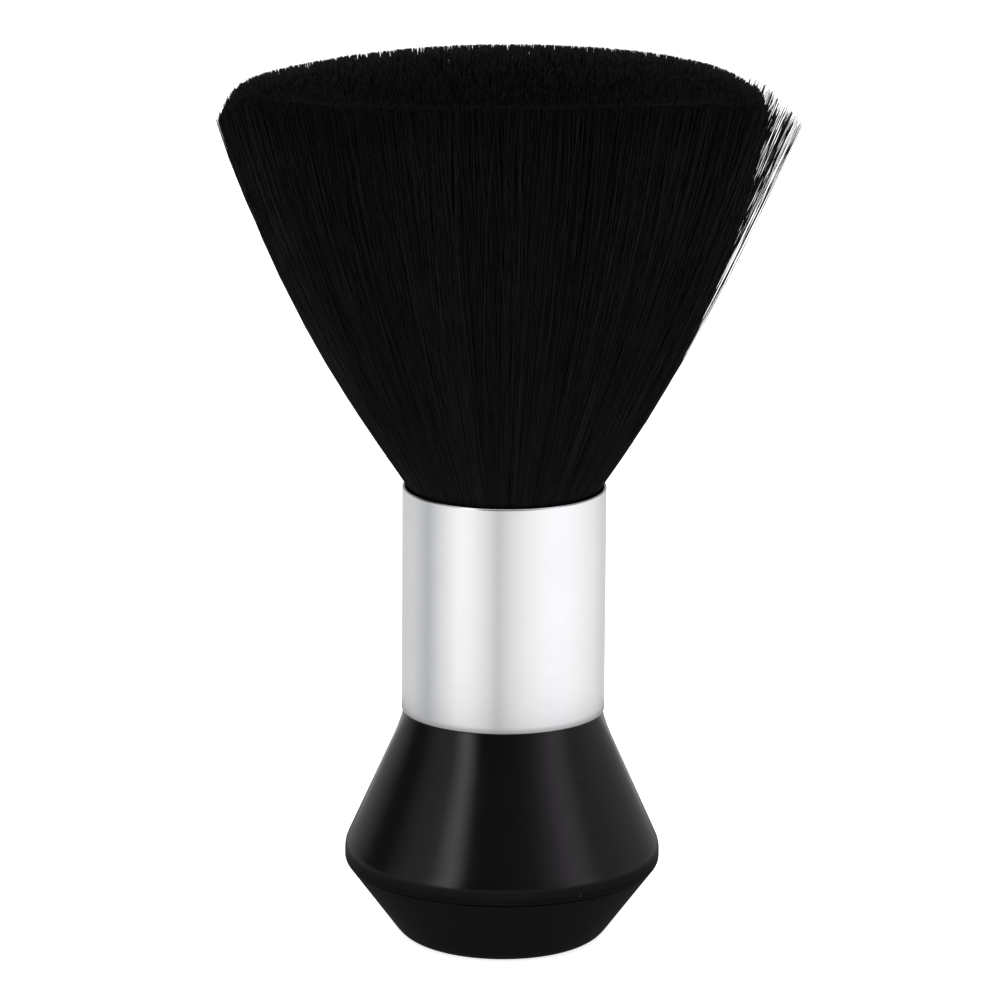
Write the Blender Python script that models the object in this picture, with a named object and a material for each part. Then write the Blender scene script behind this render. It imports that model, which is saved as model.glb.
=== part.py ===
"""Neck duster brush: a soft, flared tuft of hair held in an aluminium tube on a hollow moulded base.

Units are metres and +Z is up. The origin is the middle of the foot, on the surface it stands on.
The tuft is an oval fan, wide along X and narrow along Y, and it bends about X at the tube's mouth.
"""

import math

import bmesh
import bpy

MM = 0.001

# Clearances
GAP = 0.3 * MM  # between two pieces that touch or are glued on the real brush
SEAM_GAP = 0.2 * MM  # the line between the two halves of the base

# Base: two cones that meet at a rounded shoulder, moulded as two shells
BASE_HEIGHT = 39.5 * MM  # foot to the tube's lower edge
FOOT_RADIUS = 16.45 * MM  # where the lower cone would meet the ground
SHOULDER_RADIUS = 27.24 * MM  # where the two cones would meet
SHOULDER_HEIGHT = 14.5 * MM
SHOULDER_CUT = 0.77 * MM  # the widest circle is this much inside the corner of the two cones
SHOULDER_FILLET_UPPER = 4.8 * MM
SHOULDER_FILLET_LOWER = 1.85 * MM
FOOT_FILLET = 4.5 * MM
SEAM_BELOW_FILLET = 0.07 * MM  # the seam is just under the shoulder's rounding
FOOT_RECESS_RADIUS = 11.0 * MM
FOOT_RECESS_DEPTH = 0.6 * MM
BASE_WALL = 2.0 * MM
TONGUE_HEIGHT = 4.0 * MM  # the lower shell's rim, inside the upper shell
TONGUE_WALL = 1.4 * MM

# Ferrule: a straight aluminium tube
FERRULE_RADIUS = 17.0 * MM  # outside
FERRULE_WALL = 0.6 * MM
FERRULE_LENGTH = 38.5 * MM
FERRULE_EDGE_CHAMFER = 0.2 * MM
SPIGOT_LENGTH = 12.0 * MM  # the base's neck inside the tube
SPIGOT_CHAMFER = 0.8 * MM

# What the tube holds
PLUG_THICKNESS = 7.0 * MM  # resin poured round the hair's roots
CORE_RADIUS = 7.0 * MM
CORE_TENON_RADIUS = 4.0 * MM
CORE_TENON_LENGTH = 3.0 * MM
CORE_BELOW_MOUTH = 4.0 * MM
CORE_POINT_LENGTH = 6.0 * MM
CORE_POINT_RADIUS = 3.0 * MM
CORD_DIAMETER = 1.0 * MM
CORD_PITCH = 1.3 * MM
CORD_TURNS = 3
CORD_ABOVE_ROOT_END = 3.0 * MM

# Hair
HAIR_FREE_LENGTH = 70.0 * MM  # from the mouth to the tips
TUFT_WIDTH = 95.4 * MM  # along X, at the tips
TUFT_DEPTH = 60.4 * MM  # along Y, at the tips
FLARE_CURVE = 0.4  # how much faster the hair leans out at the mouth than on average
HOLLOW_DEPTH = 3.0 * MM  # the dip in the middle of the tips
JOINT_OVERHANG = 3.0 * MM  # how far the ball where the bending begins stands out past the tube

# How round things are divided
SEGMENTS = 48
ARC_STEPS = 5
CORD_STEPS = 32
TUFT_STEPS = 10
HOLLOW_STEPS = 4

# Places that follow from the sizes
MOUTH_HEIGHT = BASE_HEIGHT + FERRULE_LENGTH
BORE_RADIUS = FERRULE_RADIUS - FERRULE_WALL
INNER_RADIUS = BORE_RADIUS - GAP  # of everything that sits in the tube
UPPER_SLOPE = (SHOULDER_RADIUS - INNER_RADIUS) / (BASE_HEIGHT - SHOULDER_HEIGHT)
LOWER_SLOPE = (SHOULDER_RADIUS - FOOT_RADIUS) / SHOULDER_HEIGHT
WIDEST_RADIUS = SHOULDER_RADIUS - SHOULDER_CUT
BAND_TOP = SHOULDER_HEIGHT + SHOULDER_CUT / UPPER_SLOPE
BAND_BOTTOM = SHOULDER_HEIGHT - SHOULDER_CUT / LOWER_SLOPE
FILLET_REACH = SHOULDER_FILLET_LOWER * math.tan(math.atan(LOWER_SLOPE) / 2)
UPPER_SEAM = BAND_BOTTOM - FILLET_REACH * math.cos(math.atan(LOWER_SLOPE)) - SEAM_BELOW_FILLET
LOWER_SEAM = UPPER_SEAM - SEAM_GAP
SOCKET_RADIUS = WIDEST_RADIUS - BASE_WALL  # in the upper shell, for the lower shell's tongue
SPIGOT_TOP = BASE_HEIGHT + SPIGOT_LENGTH
PLUG_BOTTOM = SPIGOT_TOP + GAP
PLUG_TOP = PLUG_BOTTOM + PLUG_THICKNESS
ROOT_BOTTOM = PLUG_TOP + GAP
CORE_TOP = MOUTH_HEIGHT - CORE_BELOW_MOUTH
CORD_CENTRE_RADIUS = INNER_RADIUS - CORD_DIAMETER / 2
WAIST_RADIUS = CORD_CENTRE_RADIUS - CORD_DIAMETER / 2 - GAP
CORD_BOTTOM = ROOT_BOTTOM + CORD_ABOVE_ROOT_END
CORD_HEIGHT = CORD_PITCH * CORD_TURNS + CORD_DIAMETER
JOINT_RADIUS = FERRULE_RADIUS + JOINT_OVERHANG


def clear_scene():
    for thing in list(bpy.data.objects):
        bpy.data.objects.remove(thing)


def finish_material(name, colour, roughness, metallic=0.0):
    finish = bpy.data.materials.new(name)
    finish.use_nodes = True
    shader = finish.node_tree.nodes["Principled BSDF"]
    shader.inputs["Base Color"].default_value = (*colour, 1.0)
    shader.inputs["Roughness"].default_value = roughness
    shader.inputs["Metallic"].default_value = metallic
    finish.diffuse_color = (*colour, 1.0)
    return finish


def place(name, mesh, finish):
    thing = bpy.data.objects.new(name, mesh)
    bpy.context.scene.collection.objects.link(thing)
    thing.data.materials.clear()
    thing.data.materials.append(finish)
    return thing


def smooth(mesh):
    mesh.shade_smooth()
    mesh.set_sharp_from_angle(angle=math.radians(30))


def rounded(corners):
    """Turns corners (radius, height, fillet) into points, with an arc where the fillet isn't zero."""
    points = []
    for i, (r, z, fillet) in enumerate(corners):
        if fillet == 0:
            points.append((r, z))
            continue
        before, after = corners[i - 1], corners[(i + 1) % len(corners)]
        in_angle = math.atan2(z - before[1], r - before[0])
        out_angle = math.atan2(after[1] - z, after[0] - r)
        turn = math.remainder(out_angle - in_angle, math.tau)
        side = math.copysign(1, turn)
        reach = fillet * math.tan(abs(turn) / 2)
        start_r = r - reach * math.cos(in_angle)
        start_z = z - reach * math.sin(in_angle)
        centre_r = start_r - side * fillet * math.sin(in_angle)
        centre_z = start_z + side * fillet * math.cos(in_angle)
        for step in range(ARC_STEPS + 1):
            angle = in_angle + turn * step / ARC_STEPS
            arc_r = centre_r + side * fillet * math.sin(angle)
            arc_z = centre_z - side * fillet * math.cos(angle)
            points.append((arc_r, arc_z))
    return points


def turned(name, points, finish, closed):
    """Spins a profile of (radius, height) points about Z. A profile that isn't closed has both ends on the axis."""
    bm = bmesh.new()
    verts = [bm.verts.new((r, 0, z)) for r, z in points]
    edges = [bm.edges.new(pair) for pair in zip(verts, verts[1:])]
    if closed:
        edges.append(bm.edges.new((verts[-1], verts[0])))
    bmesh.ops.spin(
        bm, geom=verts + edges, cent=(0, 0, 0), axis=(0, 0, 1), angle=math.tau, steps=SEGMENTS, use_merge=True
    )
    bmesh.ops.remove_doubles(bm, verts=bm.verts, dist=0.0001 * MM)
    bmesh.ops.recalc_face_normals(bm, faces=bm.faces)
    mesh = bpy.data.meshes.new(name)
    bm.to_mesh(mesh)
    bm.free()
    smooth(mesh)
    return place(name, mesh, finish)


def upper_cone_radius(height):
    return INNER_RADIUS + (BASE_HEIGHT - height) * UPPER_SLOPE


def lower_cone_radius(height):
    return FOOT_RADIUS + height * LOWER_SLOPE


def inside_radius(outer_radius, slope):
    """The wall's thickness is measured square to the cone, so it is wider along the radius."""
    return outer_radius - BASE_WALL * math.hypot(1, slope)


def base_upper_shell(finish):
    """The upper cone with its shoulder, and the spigot that goes up into the tube."""
    socket_top = UPPER_SEAM + TONGUE_HEIGHT + GAP
    ledge = inside_radius(upper_cone_radius(socket_top), UPPER_SLOPE)
    neck = INNER_RADIUS - BASE_WALL
    neck_foot = BASE_HEIGHT - (neck - inside_radius(INNER_RADIUS, UPPER_SLOPE)) / UPPER_SLOPE
    corners = [
        (0, SPIGOT_TOP, 0),
        (INNER_RADIUS - SPIGOT_CHAMFER, SPIGOT_TOP, 0),
        (INNER_RADIUS, SPIGOT_TOP - SPIGOT_CHAMFER, 0),
        (INNER_RADIUS, BASE_HEIGHT, 0),
        (WIDEST_RADIUS, BAND_TOP, SHOULDER_FILLET_UPPER),
        (WIDEST_RADIUS, BAND_BOTTOM, SHOULDER_FILLET_LOWER),
        (lower_cone_radius(UPPER_SEAM), UPPER_SEAM, 0),
        (SOCKET_RADIUS, UPPER_SEAM, 0),
        (SOCKET_RADIUS, socket_top, 0),
        (ledge, socket_top, 0),
        (neck, neck_foot, 0),
        (neck, SPIGOT_TOP - BASE_WALL, 0),
        (0, SPIGOT_TOP - BASE_WALL, 0),
    ]
    return turned("base_upper_shell", rounded(corners), finish, closed=False)


def base_lower_shell(finish):
    """The bowl with the foot, and the tongue that goes up into the upper shell."""
    tongue = SOCKET_RADIUS - GAP
    floor = FOOT_RECESS_DEPTH + BASE_WALL
    corners = [
        (0, FOOT_RECESS_DEPTH, 0),
        (FOOT_RECESS_RADIUS - FOOT_RECESS_DEPTH, FOOT_RECESS_DEPTH, 0),
        (FOOT_RECESS_RADIUS, 0, 0),
        (FOOT_RADIUS, 0, FOOT_FILLET),
        (lower_cone_radius(LOWER_SEAM), LOWER_SEAM, 0),
        (tongue, LOWER_SEAM, 0),
        (tongue, LOWER_SEAM + TONGUE_HEIGHT, 0),
        (tongue - TONGUE_WALL, LOWER_SEAM + TONGUE_HEIGHT, 0),
        (tongue - TONGUE_WALL, LOWER_SEAM, 0),
        (inside_radius(lower_cone_radius(floor), LOWER_SLOPE), floor, 0),
        (0, floor, 0),
    ]
    return turned("base_lower_shell", rounded(corners), finish, closed=False)


def ferrule(finish):
    lip = FERRULE_WALL / 2
    edge = FERRULE_EDGE_CHAMFER
    corners = [
        (BORE_RADIUS, BASE_HEIGHT, 0),
        (FERRULE_RADIUS - edge, BASE_HEIGHT, 0),
        (FERRULE_RADIUS, BASE_HEIGHT + edge, 0),
        (FERRULE_RADIUS, MOUTH_HEIGHT, lip * 0.95),
        (BORE_RADIUS, MOUTH_HEIGHT, lip * 0.95),
    ]
    return turned("ferrule", rounded(corners), finish, closed=True)


def resin_plug(finish):
    pocket = CORE_TENON_RADIUS + GAP
    pocket_floor = PLUG_TOP - CORE_TENON_LENGTH - GAP
    points = [
        (0, pocket_floor),
        (pocket, pocket_floor),
        (pocket, PLUG_TOP),
        (INNER_RADIUS, PLUG_TOP),
        (INNER_RADIUS, PLUG_BOTTOM),
        (0, PLUG_BOTTOM),
    ]
    return turned("resin_plug", points, finish, closed=False)


def core_outline(clearance):
    """The spreader core above the plug, grown by a clearance. It ends in a blunt point."""
    return [
        (0, CORE_TOP + clearance),
        (CORE_POINT_RADIUS + clearance, CORE_TOP + clearance),
        (CORE_RADIUS + clearance, CORE_TOP - CORE_POINT_LENGTH + clearance),
        (CORE_RADIUS + clearance, ROOT_BOTTOM),
    ]


def spreader_core(finish):
    tenon_bottom = PLUG_TOP - CORE_TENON_LENGTH
    points = core_outline(0) + [
        (CORE_TENON_RADIUS, ROOT_BOTTOM),
        (CORE_TENON_RADIUS, tenon_bottom),
        (0, tenon_bottom),
    ]
    return turned("spreader_core", points, finish, closed=False)


def binding_cord(finish):
    """A cord wound round the hair's roots: a helix that rises by one pitch each turn."""
    curve = bpy.data.curves.new("binding_cord", "CURVE")
    curve.dimensions = "3D"
    curve.bevel_depth = CORD_DIAMETER / 2
    curve.bevel_resolution = 2
    curve.use_fill_caps = True
    count = CORD_TURNS * CORD_STEPS + 1
    spline = curve.splines.new("POLY")
    spline.points.add(count - 1)
    for i, point in enumerate(spline.points):
        turns = i / CORD_STEPS
        x = CORD_CENTRE_RADIUS * math.cos(math.tau * turns)
        y = CORD_CENTRE_RADIUS * math.sin(math.tau * turns)
        z = CORD_BOTTOM + CORD_DIAMETER / 2 + CORD_PITCH * turns
        point.co = (x, y, z, 1)
    return place("binding_cord", curve, finish)


def lean_share(height_share):
    """How far the hair has leaned out at a share of its height: fastest at the mouth, slower to the tips."""
    return height_share * (1 + FLARE_CURVE * (1 - height_share))


def rim_point(angle):
    """The outermost hair's lean along X and Y, and the height of its tip. Every hair has the same length."""
    lean_x = (TUFT_WIDTH / 2 - INNER_RADIUS) * math.cos(angle)
    lean_y = (TUFT_DEPTH / 2 - INNER_RADIUS) * math.sin(angle)
    height = math.sqrt(HAIR_FREE_LENGTH**2 - lean_x**2 - lean_y**2)
    return lean_x, lean_y, height


def held_ring(radius, height):
    """A ring of the hair inside the tube, where the bundle is round."""
    angles = [math.tau * i / SEGMENTS for i in range(SEGMENTS)]
    return [(radius * math.cos(a), radius * math.sin(a), height) for a in angles]


def free_ring(height_share):
    """A ring of the hair above the mouth, from round at the tube to oval at the tips."""
    ring = []
    for i in range(SEGMENTS):
        angle = math.tau * i / SEGMENTS
        lean_x, lean_y, height = rim_point(angle)
        x = INNER_RADIUS * math.cos(angle) + lean_x * lean_share(height_share)
        y = INNER_RADIUS * math.sin(angle) + lean_y * lean_share(height_share)
        ring.append((x, y, MOUTH_HEIGHT + height * height_share))
    return ring


def tip_ring(radius_share):
    """A ring on the face that the tips make, which dips to a hollow in the middle."""
    centre = MOUTH_HEIGHT + rim_point(math.pi / 2)[2] - HOLLOW_DEPTH
    bowl = radius_share**2
    return [(x * radius_share, y * radius_share, centre + (z - centre) * bowl) for x, y, z in free_ring(1)]


def bundle_mesh():
    """The whole bundle of hair as one closed solid: roots, a waist under the cord, the flare and the tips."""
    waist_bottom = CORD_BOTTOM - GAP
    waist_top = CORD_BOTTOM + CORD_HEIGHT + GAP
    step = INNER_RADIUS - WAIST_RADIUS
    rings = [
        held_ring(INNER_RADIUS, ROOT_BOTTOM),
        held_ring(INNER_RADIUS, waist_bottom - step),
        held_ring(WAIST_RADIUS, waist_bottom),
        held_ring(WAIST_RADIUS, waist_top),
        held_ring(INNER_RADIUS, waist_top + step),
    ]
    rings += [free_ring(i / TUFT_STEPS) for i in range(TUFT_STEPS + 1)]
    rings += [tip_ring(1 - i / HOLLOW_STEPS) for i in range(1, HOLLOW_STEPS)]
    bm = bmesh.new()
    loops = [[bm.verts.new(point) for point in ring] for ring in rings]
    for low, high in zip(loops, loops[1:]):
        for i in range(SEGMENTS):
            bm.faces.new((low[i - 1], low[i], high[i], high[i - 1]))
    bm.faces.new(loops[0])
    middle = bm.verts.new(tip_ring(0)[0])
    for i in range(SEGMENTS):
        bm.faces.new((loops[-1][i], loops[-1][(i + 1) % SEGMENTS], middle))
    bmesh.ops.recalc_face_normals(bm, faces=bm.faces)
    mesh = bpy.data.meshes.new("hair_bundle")
    bm.to_mesh(mesh)
    bm.free()
    return mesh


def ball_cutter(name, radius, finish):
    """A cylinder up to the mouth with a half ball on top, centred on the mouth: what stays with the tube."""
    quarter = [math.tau * i / SEGMENTS for i in range(SEGMENTS // 4 + 1)]
    points = [(radius * math.sin(a), MOUTH_HEIGHT + radius * math.cos(a)) for a in quarter]
    points += [(radius, ROOT_BOTTOM - radius), (0, ROOT_BOTTOM - radius)]
    cutter = turned(name, points, finish, closed=False)
    cutter.hide_render = True
    cutter.display_type = "WIRE"
    return cutter


def cut(thing, cutter, operation):
    modifier = thing.modifiers.new(cutter.name, "BOOLEAN")
    modifier.operation = operation
    modifier.solver = "EXACT"
    modifier.object = cutter


def bristle_root(mesh, finish):
    """The hair that the tube holds still, with room for the core, up to the ball where the bending begins."""
    root = place("bristle_root", mesh, finish)
    below = ROOT_BOTTOM - PLUG_THICKNESS
    outline = core_outline(GAP)[:-1] + [(CORE_RADIUS + GAP, below), (0, below)]
    hole = turned("core_hole", outline, finish, closed=False)
    hole.hide_render = True
    hole.display_type = "WIRE"
    cut(root, ball_cutter("root_ball", JOINT_RADIUS, finish), "INTERSECT")
    cut(root, hole, "DIFFERENCE")
    return root


def bristle_tuft(mesh, finish):
    """The hair that bends: everything outside a slightly larger ball about the mouth's centre."""
    tuft = place("bristle_tuft", mesh, finish)
    cut(tuft, ball_cutter("tuft_ball", JOINT_RADIUS + GAP, finish), "DIFFERENCE")
    return tuft


def build():
    clear_scene()
    black_plastic = finish_material("black_plastic", (0.012, 0.012, 0.013), 0.38)
    aluminium = finish_material("aluminium", (0.86, 0.865, 0.875), 0.30, metallic=1.0)
    resin = finish_material("resin", (0.45, 0.33, 0.16), 0.35)
    core_plastic = finish_material("core_plastic", (0.55, 0.54, 0.50), 0.50)
    thread = finish_material("thread", (0.60, 0.56, 0.48), 0.80)
    black_hair = finish_material("black_hair", (0.008, 0.008, 0.009), 0.55)

    base_upper_shell(black_plastic)
    base_lower_shell(black_plastic)
    ferrule(aluminium)
    resin_plug(resin)
    spreader_core(core_plastic)
    binding_cord(thread)
    hair = bundle_mesh()
    bristle_root(hair.copy(), black_hair)
    bristle_tuft(hair, black_hair)


build()
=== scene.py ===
# %% [markdown]
# # A neck duster brush
#
# A barber's neck duster shows three things: an oval fan of soft black hair, a satin aluminium tube, and a
# black base of two cones. The frame holds the engineering model: every piece at its real size and the
# hinge about which the hair bends. This lesson makes the surfaces that the eye meets, and leaves the
# sizes alone. The frame is loaded first, because every place below is read from it.

# %% Load the frame
import math

import bpy
import numpy as np
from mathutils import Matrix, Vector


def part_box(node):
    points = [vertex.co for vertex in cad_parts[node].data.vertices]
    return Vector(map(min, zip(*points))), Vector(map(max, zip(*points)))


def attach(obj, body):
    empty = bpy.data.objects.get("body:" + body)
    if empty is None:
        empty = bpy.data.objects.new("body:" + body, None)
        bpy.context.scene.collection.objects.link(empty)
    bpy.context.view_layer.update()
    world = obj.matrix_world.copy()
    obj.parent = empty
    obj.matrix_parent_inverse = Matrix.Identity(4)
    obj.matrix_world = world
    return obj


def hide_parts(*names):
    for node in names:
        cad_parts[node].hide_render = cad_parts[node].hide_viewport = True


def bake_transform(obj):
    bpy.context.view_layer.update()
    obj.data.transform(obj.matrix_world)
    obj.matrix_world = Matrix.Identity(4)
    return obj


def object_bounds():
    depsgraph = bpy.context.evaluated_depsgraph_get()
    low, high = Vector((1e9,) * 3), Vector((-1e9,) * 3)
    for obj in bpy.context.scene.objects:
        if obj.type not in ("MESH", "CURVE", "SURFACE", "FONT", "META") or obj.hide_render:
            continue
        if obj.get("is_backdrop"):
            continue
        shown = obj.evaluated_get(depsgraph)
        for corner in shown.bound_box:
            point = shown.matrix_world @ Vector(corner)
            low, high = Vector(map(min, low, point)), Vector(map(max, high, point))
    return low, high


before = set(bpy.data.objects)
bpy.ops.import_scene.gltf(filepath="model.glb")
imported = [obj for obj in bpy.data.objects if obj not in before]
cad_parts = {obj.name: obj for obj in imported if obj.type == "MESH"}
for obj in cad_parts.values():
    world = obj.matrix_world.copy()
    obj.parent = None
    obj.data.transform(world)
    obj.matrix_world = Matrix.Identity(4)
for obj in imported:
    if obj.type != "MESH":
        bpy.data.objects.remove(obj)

MM = 0.001
cad_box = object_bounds()

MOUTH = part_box("ferrule")[1].z  # the tube's upper edge, where the hair comes out
BUNDLE_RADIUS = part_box("resin_plug")[1].x  # of everything that the tube holds
TUFT_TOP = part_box("bristle_tuft")[1]
HAIR_LENGTH = math.hypot(TUFT_TOP.z - MOUTH, TUFT_TOP.y - BUNDLE_RADIUS)
print("mouth at", round(MOUTH / MM, 1), "mm, free hair", round(HAIR_LENGTH / MM, 1), "mm long")

# %% [markdown]
# ## A white tent
#
# Black plastic and bright metal have hardly any colour of their own: they show the room. A studio puts
# such things in a tent of white cloth with lamps behind it and leaves gaps, which the metal shows as soft
# grey bands. The tent could be walls and lamps of real geometry, but a world shader is simpler to steer.
# It gives a brightness to each direction: one row of brightnesses round the horizon, which the tube sees,
# and one row higher up, which the upper cone sees. The camera itself sees plain white.

# %% Helpers for shader nodes
def add_node(tree, kind, settings=None, **inputs):
    """A new node with its settings and its input values: n0 is the first input, and _ stands for a space."""
    node = tree.nodes.new(kind)
    for name, value in (settings or {}).items():
        setattr(node, name, value)
    for name, value in inputs.items():
        numbered = name[0] == "n" and name[1:].isdigit()
        socket = node.inputs[int(name[1:]) if numbered else name.replace("_", " ")]
        if isinstance(value, bpy.types.NodeSocket):
            tree.links.new(value, socket)
        else:
            socket.default_value = value
    return node


def maths(tree, operation, a, b=0.0, c=0.0):
    """One sum as a node, such as a * b for MULTIPLY and a * b + c for MULTIPLY_ADD."""
    return add_node(tree, "ShaderNodeMath", {"operation": operation}, n0=a, n1=b, n2=c).outputs[0]


def mixed(tree, factor, a, b):
    """A colour between two: a * (1 - factor) + b * factor."""
    return add_node(tree, "ShaderNodeMixRGB", Fac=factor, Color1=a, Color2=b).outputs[0]


def smooth_step(tree, value, start, end):
    """0 below start, 1 above end, and an S-curve between them."""
    settings = {"interpolation_type": "SMOOTHSTEP"}
    step = add_node(tree, "ShaderNodeMapRange", settings, Value=value, From_Min=start, From_Max=end)
    return step.outputs[0]


def ramp(tree, factor, stops, ease="LINEAR"):
    """A colour ramp. Each stop is a place from 0 to 1 and a grey or a colour."""
    node = add_node(tree, "ShaderNodeValToRGB", Fac=factor)
    node.color_ramp.interpolation = ease
    elements = node.color_ramp.elements
    while len(elements) < len(stops):
        elements.new(0.5)
    for element, (place, tone) in zip(elements, stops):
        element.position = place
        element.color = (*tone, 1.0) if isinstance(tone, tuple) else (tone, tone, tone, 1.0)
    return node.outputs["Color"]


# %% The tent
# Brightness of the cloth by azimuth in degrees: 0 is towards the camera, positive to the right.
TENT_LOW = (
    (-180, 0.66), (-148, 0.66), (-122, 0.68), (-95, (0.50, 0.51, 0.54)), (-74, 0.80), (-53, 1.04),
    (-33, 0.97), (-17, 0.82), (-7, 0.62), (4, 0.78), (14, 0.88), (25, 0.98), (45, 1.07),
    (68, (1.09, 1.09, 1.12)), (88, 1.05), (107, 0.95), (122, 0.88), (148, 0.68), (180, 0.66),
)
TENT_HIGH = (
    (-180, 0.30), (-150, 0.32), (-135, 0.30), (-122, 0.20), (-112, 0.04), (-97, 0.04), (-76, 0.33),
    (-55, 0.40), (-48, 1.10), (-40, (1.80, 1.70, 1.75)), (-33, 0.85), (-27, 0.03), (-10, 0.02), (10, 0.06),
    (28, 0.12), (44, (0.42, 0.38, 0.42)), (57, (0.80, 0.72, 0.80)), (67, 0.66), (79, 0.28), (105, 0.32),
    (130, 0.28), (180, 0.30),
)
TENT_GROUND = (0.30, 0.30, 0.30, 1.0)
TENT_ROOF = (1.3, 1.3, 1.3, 1.0)
PLAIN_WHITE = (1.05, 1.05, 1.05, 1.0)  # all that the camera sees of the tent
LOW_TO_HIGH = (-0.18, -0.11)  # the upward part of a direction, from one row of brightnesses to the next
HIGH_TO_ROOF = (0.68, 0.88)
WALL_TO_GROUND = (0.45, 0.85)  # the downward part of a direction


def round_the_tent(stops):
    """An azimuth of -180 to 180 degrees becomes a place of 0 to 1: (azimuth + 180) / 360."""
    return [((azimuth + 180) / 360, tone) for azimuth, tone in stops]


def white_tent():
    """The azimuth, atan2(x, -y), picks the brightness in a row; z picks the row, the roof or the ground."""
    world = bpy.data.worlds.new("white_tent")
    world.use_nodes = True
    bpy.context.scene.world = world
    tree = world.node_tree
    tree.nodes.clear()
    direction = add_node(tree, "ShaderNodeTexCoord").outputs["Generated"]
    x, y, z = add_node(tree, "ShaderNodeSeparateXYZ", n0=direction).outputs
    turn = maths(tree, "ARCTAN2", x, maths(tree, "MULTIPLY", y, -1.0))
    turn = maths(tree, "MULTIPLY_ADD", turn, 1 / math.tau, 0.5)
    low = ramp(tree, turn, round_the_tent(TENT_LOW))
    high = ramp(tree, turn, round_the_tent(TENT_HIGH))
    walls = mixed(tree, smooth_step(tree, z, *LOW_TO_HIGH), low, high)
    walls = mixed(tree, smooth_step(tree, z, *HIGH_TO_ROOF), walls, TENT_ROOF)
    falling = smooth_step(tree, maths(tree, "MULTIPLY", z, -1.0), *WALL_TO_GROUND)
    cloth = mixed(tree, falling, walls, TENT_GROUND)
    seen = add_node(tree, "ShaderNodeLightPath").outputs["Is Camera Ray"]
    colour = mixed(tree, seen, cloth, PLAIN_WHITE)
    background = add_node(tree, "ShaderNodeBackground", Color=colour)
    output = add_node(tree, "ShaderNodeOutputWorld")
    tree.links.new(background.outputs[0], output.inputs["Surface"])


white_tent()
print("the tent has", len(TENT_LOW), "brightnesses round the tube and", len(TENT_HIGH), "higher up")

# %% The floor
FLOOR_SIZE = 6.0
FLOOR_DROP = 0.05 * MM  # under the foot, so the two don't share a plane
PAPER_GLOW = 0.85


def floor():
    """A sheet of white paper: a square of FLOOR_SIZE with its middle under the brush."""
    half = FLOOR_SIZE / 2
    mesh = bpy.data.meshes.new("paper_floor")
    corners = [(-half, -half, 0), (half, -half, 0), (half, half, 0), (-half, half, 0)]
    mesh.from_pydata(corners, [], [(0, 1, 2, 3)])
    paper = bpy.data.objects.new("paper_floor", mesh)
    bpy.context.scene.collection.objects.link(paper)
    paper.location.z = -FLOOR_DROP
    paper.visible_glossy = False
    finish = bpy.data.materials.new("white_paper")
    finish.use_nodes = True
    tree = finish.node_tree
    shader = tree.nodes["Principled BSDF"]
    where = add_node(tree, "ShaderNodeTexCoord").outputs["Object"]
    grain = add_node(tree, "ShaderNodeTexNoise", Vector=where, Scale=900.0, Detail=4.0).outputs["Fac"]
    tree.links.new(ramp(tree, grain, ((0.0, 0.90), (1.0, 0.94))), shader.inputs["Base Color"])
    shader.inputs["Roughness"].default_value = 0.9
    shader.inputs["Specular IOR Level"].default_value = 0.0
    shader.inputs["Emission Color"].default_value = (1.0, 1.0, 1.0, 1.0)
    shader.inputs["Emission Strength"].default_value = PAPER_GLOW
    mesh.materials.append(finish)
    paper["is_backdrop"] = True


floor()
print("paper floor", FLOOR_SIZE, "m wide")

# %% The painted-shade card and the lamp above
CARD_RADIUS = 150 * MM
CARD_DROP = 0.1 * MM
CARD_POINTS = 64
# The card's glow is painted shade: darkest near the foot, where the table lies in the brush's shade, lighter
# towards the rim.
CARD_GLOW = ((0.35, 0.042), (1.0, 0.38))  # by distance from the middle, as a share of the radius
LAMP_PLACE = (0.0, -0.8, 1.0)
LAMP_TILT = math.radians(38)
LAMP_SIZE = 1.4
LAMP_POWER = 8.0


def lamp_above():
    """One wide lamp above the camera's side. Reflections don't see it, so it leaves no glint on the brush."""
    lamp = bpy.data.lights.new("lamp_above", "AREA")
    lamp.shape = "DISK"
    lamp.size = LAMP_SIZE
    lamp.energy = LAMP_POWER
    holder = bpy.data.objects.new("lamp_above", lamp)
    holder.location = LAMP_PLACE
    holder.rotation_euler.x = LAMP_TILT
    holder.visible_glossy = False
    bpy.context.scene.collection.objects.link(holder)


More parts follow.
